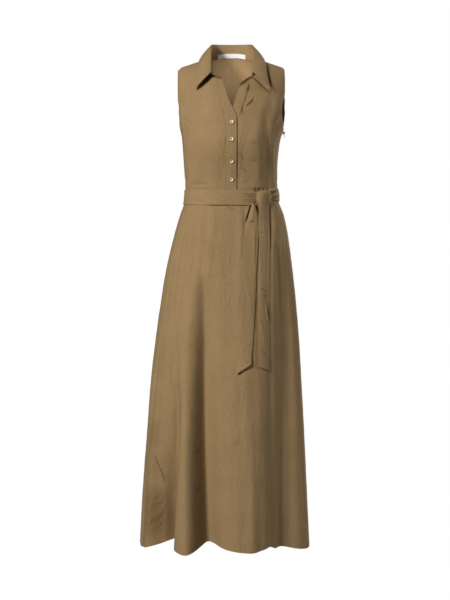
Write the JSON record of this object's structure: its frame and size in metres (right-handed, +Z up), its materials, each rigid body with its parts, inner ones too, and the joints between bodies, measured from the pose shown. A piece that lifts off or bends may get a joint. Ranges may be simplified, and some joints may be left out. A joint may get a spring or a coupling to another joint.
{
  "type": "shirt dress",
  "caption": "Long sleeveless shirt dress, filled out hollow, with a notched V neck, folded collar, buttoned front bands, flared skirt and knotted tie belt.",
  "frame": {"origin": "middle of the shoulder line, where the wearer's shoulders carry the dress", "axes": "+Z up, -Y out of the front, +X to the wearer's left"},
  "size_m": [0.478, 0.4363, 1.4062],
  "materials": {
    "cloth": "matt plain weave, khaki brown",
    "label": "white satin, blank",
    "button": "pale horn-like, polished",
    "zip": "enamelled metal, soft shine"
  },
  "bodies": {
    "dress": {"bodice_front_right": "cloth", "bodice_front_left": "cloth", "bodice_back_right": "cloth", "bodice_back_left": "cloth", "placket_upper": "cloth", "placket_under": "cloth", "collar": "cloth", "neck_label": "label", "button_1": "button", "button_2": "button", "button_3": "button", "button_4": "button", "skirt_front_right": "cloth", "skirt_front_left": "cloth", "skirt_back_right": "cloth", "skirt_back_left": "cloth", "belt_band": "cloth", "belt_knot": "cloth", "belt_tail_under": "cloth", "belt_tail_over": "cloth", "zip_slider": "zip"},
    "pull_tab": {"zip_tab": "zip"}
  },
  "joints": [
    {"name": "pull_tab_swing", "type": "hinge", "parent": "dress", "child": "pull_tab", "pos_m": [0.14688, 0, -0.2111], "axis": [0, -1, 0], "range_deg": [-4, 165]}
  ]
}
